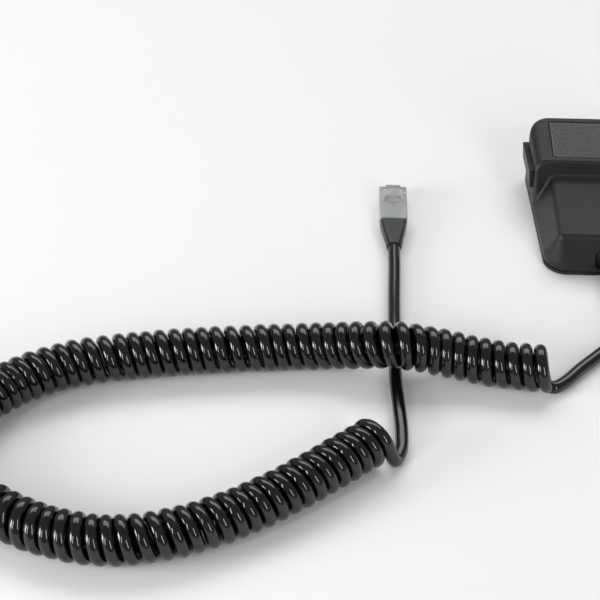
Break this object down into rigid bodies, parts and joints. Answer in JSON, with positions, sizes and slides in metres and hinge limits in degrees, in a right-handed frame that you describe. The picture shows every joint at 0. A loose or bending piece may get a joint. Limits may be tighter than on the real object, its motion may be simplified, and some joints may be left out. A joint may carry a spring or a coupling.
{
  "type": "hand microphone",
  "caption": "Palm-sized push-to-talk hand microphone with a raised grilled head, a side talk key and a glossy curly cord that ends in a modular plug.",
  "frame": {"origin": "middle of the flat back that the microphone lies on", "axes": "+X across the microphone to its right seen from the front, +Y from the tail to the grilled head, +Z out of the front face"},
  "size_m": [0.2991, 0.2448, 0.0296],
  "materials": {
    "shell_black": "dark charcoal moulded plastic with a fine spark texture",
    "back_black": "dark charcoal moulded plastic, slightly duller than the front",
    "key_black": "smooth satin black plastic",
    "grille_black": "fine perforated sheet, painted dark grey",
    "cloth_black": "thin woven acoustic cloth",
    "boot_rubber": "soft black rubber",
    "capsule_metal": "bright drawn can",
    "bracket_steel": "plated sheet steel",
    "screw_steel": "dark plated screws",
    "switch_black": "glossy black switch housing",
    "plunger_red": "red plunger",
    "board_green": "green solder-mask board",
    "chip_black": "black epoxy package",
    "capacitor_blue": "dark blue sleeve",
    "header_white": "natural nylon",
    "clamp_black": "black nylon",
    "relief_rubber": "satin black rubber",
    "cord_black": "very glossy black cord jacket",
    "lead_red": "red insulation",
    "lead_white": "white insulation",
    "lead_green": "green insulation",
    "lead_black": "black insulation",
    "plug_clear": "clear polycarbonate",
    "contact_gold": "gold plated"
  },
  "bodies": {
    "housing": {"audio_capacitor_1": "capacitor_blue", "audio_capacitor_2": "capacitor_blue", "back_shell": "back_black", "board_screw_1": "screw_steel", "board_screw_2": "screw_steel", "board_screw_3": "screw_steel", "board_screw_4": "screw_steel", "bracket_screw_1": "screw_steel", "bracket_screw_2": "screw_steel", "cable_header": "header_white", "capsule_boot": "boot_rubber", "capsule_bracket": "bracket_steel", "capsule_lead_1": "lead_red", "capsule_lead_2": "lead_white", "circuit_board": "board_green", "clamp_screw_1": "screw_steel", "clamp_screw_2": "screw_steel", "cord_clamp": "clamp_black", "cord_curl": "cord_black", "cord_lead": "cord_black", "cord_tail": "cord_black", "front_shell": "shell_black", "grille": "grille_black", "grille_cloth": "cloth_black", "inner_cord": "cord_black", "lead_1": "lead_red", "lead_2": "lead_white", "lead_3": "lead_green", "lead_4": "lead_black", "lead_connector": "header_white", "mic_capsule": "capsule_metal", "plug_body": "plug_clear", "plug_boot": "relief_rubber", "plug_contact_1": "contact_gold", "plug_contact_2": "contact_gold", "plug_contact_3": "contact_gold", "plug_contact_4": "contact_gold", "plug_contact_5": "contact_gold", "plug_contact_6": "contact_gold", "plug_contact_7": "contact_gold", "plug_contact_8": "contact_gold", "preamp_chip": "chip_black", "shell_screw_1": "screw_steel", "shell_screw_2": "screw_steel", "shell_screw_3": "screw_steel", "shell_screw_4": "screw_steel", "strain_relief": "relief_rubber", "switch_body": "switch_black"},
    "talk_key": {"ptt_button": "key_black"},
    "plunger": {"switch_plunger": "plunger_red"},
    "latch": {"plug_latch": "plug_clear"}
  },
  "joints": [
    {"name": "talk_press", "type": "slide", "parent": "housing", "child": "talk_key", "axis": [1, 0, 0], "range_m": [0, 0.0012], "stiffness_N_per_m": 800, "springref_m": -0.001},
    {"name": "plunger_press", "type": "slide", "parent": "housing", "child": "plunger", "axis": [1, 0, 0], "range_m": [0, 0.0012]},
    {"name": "latch_press", "type": "hinge", "parent": "housing", "child": "latch", "pos_m": [-0.091, 0.0126, 0.0076], "axis": [1, 0, 0], "range_deg": [0, 8], "stiffness_Nm_per_rad": 0.05}
  ],
  "couplings": [
    {"joint": "plunger_press", "follows": "talk_press", "ratio": 1}
  ]
}
